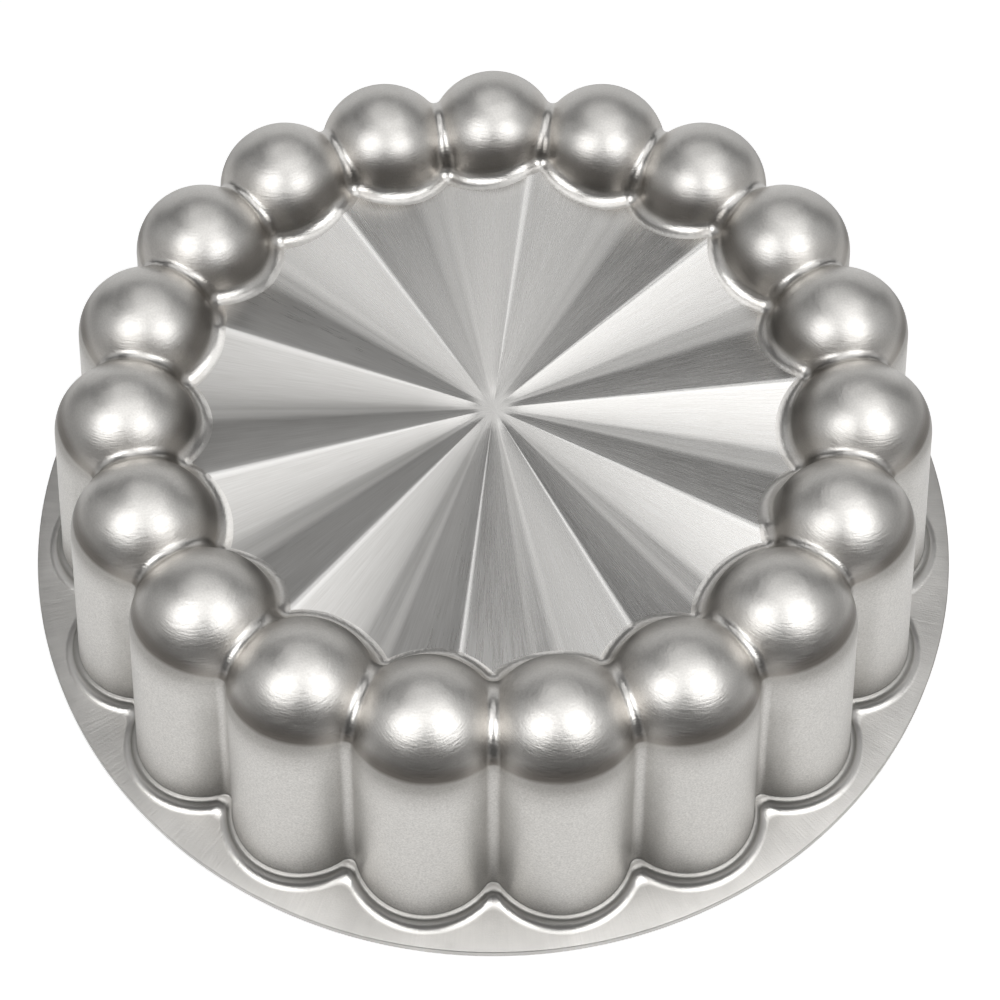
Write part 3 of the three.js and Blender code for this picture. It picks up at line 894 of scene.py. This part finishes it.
class MOULD_OT_fingers(Operator):
    """Cast the ring of leaning, domed fingers"""

    bl_idname = "mould.fingers"
    bl_label = "Fingers"

    def execute(self, context):
        form = mould_form()
        material = finger_metal(context.scene.mould_finish)
        for number, node in enumerate(FINGER_NODES):
            self.cast(form, number, node, material, context.scene.mould_sizes.wall)
        return {"FINISHED"}

    def cast(self, form, number, node, material, wall):
        """One finger: outer and inner skin in one loop, closed on the planes between fingers."""
        azimuth = form.azimuth(number)
        skins = {
            (side, inner): form.half_skin(azimuth, side, -wall if inner else 0.0)
            for side in (-1, 1)
            for inner in (False, True)
        }
        back = 2 * SKIN_ROWS + 1

        def skin_row(step):
            inner = SKIN_ROWS < step <= back
            return inner, back - step if inner else step % (back + 1)

        def spot(column, step):
            inner, row = skin_row(step)
            side = -1 if column < HALF_STEPS else 1
            return skins[side, inner][row][abs(column - HALF_STEPS)]

        piece = lay_grid(f"cast_{node}", 2 * HALF_STEPS, back + 1, spot)
        columns = 2 * HALF_STEPS + 1
        masks = {name: [] for name in FINGER_MASKS}
        for index in range(len(piece.data.vertices)):
            step, column = divmod(index, columns)
            finish = self.finish_at(*skin_row(step), abs(column - HALF_STEPS))
            for name, value in finish.items():
                masks[name].append(value)
        for name, values in masks.items():
            point_values(piece, name, values)
        close_up(piece, SKIN_CREASE)
        dress(piece, material, node)

    def finish_at(self, inner, row, rib):
        """How polished and glossy a finger is at a row and a rib of its skin, and how much painted shade
        it takes at the foot of the domes and beside the grooves.
        """
        way_round = rib / ROUND_STEPS
        deep = smooth((rib - ROUND_STEPS) / GROOVE_STEPS, *DEEP_RIBS)
        line = LINE_DEPTH * band(row, *LINE_ROWS)
        cove = COVE_DEPTH * band(row, *COVE_ROWS)
        shade_fade = SHADE_FADE_DEPTH * band(row, *SHADE_FADE_ROWS)
        painted = 0.0 if inner else 1 - SIDE_SHADE_EASING * smooth(way_round, *SHADE_EASING_RIBS) * (1 - deep)
        grooved = smooth(way_round, *FLANK_RIBS) * (1 - GROOVE_SHADE_EASING * deep)
        return {
            "polish": smooth(row, *POLISH_ROWS),
            "dome_shade": max(line, cove, shade_fade) * painted,
            "flank_shade": grooved * mix(1.0, DOME_FLANK, smooth(row, *DOME_FLANK_ROWS)),
            "gloss": smooth(row, *GLOSS_ROWS) * max(deep, smooth(row, *COVE_GLOSS_ROWS)),
        }


class MOULD_OT_base(Operator):
    """Cast the pleated base"""

    bl_idname = "mould.base"
    bl_label = "Pleated base"

    def execute(self, context):
        form = mould_form()
        wall = context.scene.mould_sizes.wall
        finish = context.scene.mould_finish
        outline = form.base_outline()
        last = 2 * len(BASE_RINGS) - 1

        def spot(column, row):
            under = row >= len(BASE_RINGS)
            reach = BASE_RINGS[last - row if under else row]
            edge = outline[column % len(outline)]
            x, y = edge.x * reach, edge.y * reach
            return Vector((x, y, form.pleat_level(x, y) - (wall if under else 0.0)))

        piece = lay_grid("cast_base", len(outline), last, spot)
        crest, shaded_rough_side = [], []
        for vertex in piece.data.vertices:
            x, y = vertex.co.x, vertex.co.y
            away = math.hypot(x, y) / form.base_radius
            # Painted shade on the side that faces this azimuth, which is also made rougher
            facing = math.cos(math.atan2(y, x) - finish.shaded_side_azimuth)
            crest.append(mix(SPOT_CREST, form.crest(x, y), smooth(away, *SPOT_FADE)))
            shaded_rough_side.append(smooth(facing, *SIDE_FACING) * smooth(away, *SIDE_REACH))
        point_values(piece, "crest", crest)
        point_values(piece, "shaded_rough_side", shaded_rough_side)
        close_up(piece, BASE_CREASE)
        dress(piece, base_metal(finish), "pleated_base")
        return {"FINISHED"}


class MOULD_OT_rim(Operator):
    """Cast the flat rim with its stepped foot"""

    bl_idname = "mould.rim"
    bl_label = "Rim"

    def execute(self, context):
        form = mould_form()
        sizes = context.scene.mould_sizes
        foot = form.foot_section()
        edge = form.edge_section()
        steps = len(foot) + len(edge) + 2
        per_finger = 2 * HALF_STEPS

        def spot(column, step):
            number, place = divmod(column % (per_finger * form.count), per_finger)
            side = 1 if place < HALF_STEPS else -1
            rib = abs(place - HALF_STEPS)
            azimuth = form.azimuth(number)
            step = step % steps
            if step < len(foot):
                out, level = foot[step]
                return form.turned(form.column_at_height(level, rib, out), side, azimuth)
            step -= len(foot)
            if step < len(edge):
                radius, level = edge[step]
                lip = form.column_at_height(sizes.rim_thickness, rib, sizes.foot_step)
                lip = form.turned(lip, side, azimuth)
                heading = math.atan2(lip.y, lip.x)
                return Vector((radius * math.cos(heading), radius * math.sin(heading), level))
            level = 0.0 if step == len(edge) else sizes.foot_height
            return form.turned(form.column_at_height(level, rib, -sizes.wall), side, azimuth)

        piece = lay_grid("cast_rim", per_finger * form.count, steps, spot)
        columns = per_finger * form.count + 1
        shaded, highlight = [], []
        for index in range(len(piece.data.vertices)):
            step = index // columns % steps
            # Painted shade on the foot's top and wall, and the fillet's polish with its painted highlight
            top = 1 - smooth(step, *FOOT_TOP_ROWS)
            shaded.append(max(FOOT_TOP_SHADING * top, band(step, *FOOT_WALL_ROWS)))
            highlight.append(band(step, *FOOT_SHINE_ROWS))
        point_values(piece, "foot", shaded)
        point_values(piece, "highlight", highlight)
        close_up(piece, SKIN_CREASE)
        dress(piece, rim_metal(context.scene.mould_finish), "rim_flange")
        return {"FINISHED"}


class MOULD_OT_studio(Operator):
    """Set up the pale floor, the soft lamps and the camera"""

    bl_idname = "mould.studio"
    bl_label = "Studio"

    def execute(self, context):
        look = context.scene.mould_studio
        self.lay_floor(look)
        self.set_world(context.scene, look)
        for name, shape, place, size, setting, aim in LAMPS:
            self.hang_lamp(name, shape, place, size, getattr(look, setting), aim)
        self.set_camera(context.scene, look)
        context.scene.view_settings.view_transform = "Standard"
        return {"FINISHED"}

    def lay_floor(self, look):
        """A plain floor. It adds some white for the eye and keeps the shadow."""
        bpy.ops.object.select_all(action="DESELECT")
        bpy.ops.mesh.primitive_plane_add(size=look.floor_size, location=(0, 0, -FLOOR_DROP))
        floor = bpy.context.object
        floor.name = "floor"
        material = bpy.data.materials.new("pale_floor")
        material.use_nodes = True
        bench = NodeBench(material.node_tree)
        material.node_tree.nodes.remove(material.node_tree.nodes["Principled BSDF"])
        matt = bench.add("ShaderNodeBsdfDiffuse")
        matt.inputs["Color"].default_value = toned(look.floor)
        emitter = bench.add("ShaderNodeEmission")
        path = bench.add("ShaderNodeLightPath")
        through = path.outputs["Is Transmission Ray"]
        seen = bench.maths("MAXIMUM", path.outputs["Is Camera Ray"], through)
        eye = bench.maths("MULTIPLY", seen, look.floor_glow)
        gleam = bench.maths("MULTIPLY", path.outputs["Is Glossy Ray"], look.floor_gleam)
        bench.link(bench.maths("MAXIMUM", eye, gleam), emitter.inputs["Strength"])
        both = bench.add("ShaderNodeAddShader")
        bench.link(matt.outputs[0], both.inputs[0])
        bench.link(emitter.outputs[0], both.inputs[1])
        bench.link(both.outputs[0], material.node_tree.nodes["Material Output"].inputs["Surface"])
        floor.data.materials.append(material)

    def set_world(self, scene, look):
        """Dim studio walls."""
        world = bpy.data.worlds.new("studio")
        world.use_nodes = True
        world.node_tree.nodes["Background"].inputs["Color"].default_value = toned(look.surround)
        scene.world = world

    def hang_lamp(self, name, shape, place, size, radiance, aim):
        """A soft lamp of a stated radiance, aimed at the mould or beside it."""
        lamp = bpy.data.lights.new(name, "AREA")
        lamp.shape = shape
        lamp.size, lamp.size_y = size
        area = size[0] * size[1] * (math.pi / 4 if shape == "ELLIPSE" else 1.0)
        lamp.energy = radiance * math.pi * area
        holder = bpy.data.objects.new(name, lamp)
        holder.location = place
        holder.rotation_euler = (Vector(aim) - Vector(place)).to_track_quat("-Z", "Y").to_euler()
        bpy.context.scene.collection.objects.link(holder)

    def set_camera(self, scene, look):
        """The camera at the photograph's angle."""
        lens = bpy.data.cameras.new("camera")
        lens.lens = look.lens
        lens.sensor_width = SENSOR_WIDTH
        lens.shift_x, lens.shift_y = look.shift_x, look.shift_y
        camera = bpy.data.objects.new("camera", lens)
        place, aim = Vector(look.camera_place), Vector(look.camera_aim)
        camera.location = place
        camera.rotation_euler = (aim - place).to_track_quat("-Z", "Y").to_euler()
        scene.collection.objects.link(camera)
        scene.camera = camera


class MOULD_PT_sidebar(Panel):
    """Lists the mould's pieces and settings"""

    bl_idname = "MOULD_PT_sidebar"
    bl_label = "Charlotte mould"
    bl_space_type = "VIEW_3D"
    bl_region_type = "UI"
    bl_category = "Mould"

    def draw(self, context):
        for operator in OPERATORS:
            self.layout.operator(operator.bl_idname)
        for setting in SETTINGS:
            group = getattr(context.scene, setting)
            box = self.layout.box()
            for name in group.__annotations__:
                box.prop(group, name)


OPERATORS = (MOULD_OT_rim, MOULD_OT_base, MOULD_OT_fingers, MOULD_OT_studio)
SETTINGS = {"mould_sizes": MouldSizes, "mould_finish": MouldFinish, "mould_studio": StudioLook}


def register():
    """Registers the settings, the operators and the panel."""
    for each in (*SETTINGS.values(), *OPERATORS, MOULD_PT_sidebar):
        bpy.utils.register_class(each)
    for name, group in SETTINGS.items():
        setattr(bpy.types.Scene, name, PointerProperty(type=group))


def unregister():
    """Takes everything out again."""
    for name in SETTINGS:
        delattr(bpy.types.Scene, name)
    for each in reversed((*SETTINGS.values(), *OPERATORS, MOULD_PT_sidebar)):
        bpy.utils.unregister_class(each)


def main():
    """Builds the mould and its studio."""
    register()
    bpy.ops.mould.rim()
    bpy.ops.mould.base()
    bpy.ops.mould.fingers()
    bpy.ops.mould.studio()


if __name__ == "__main__":
    main()
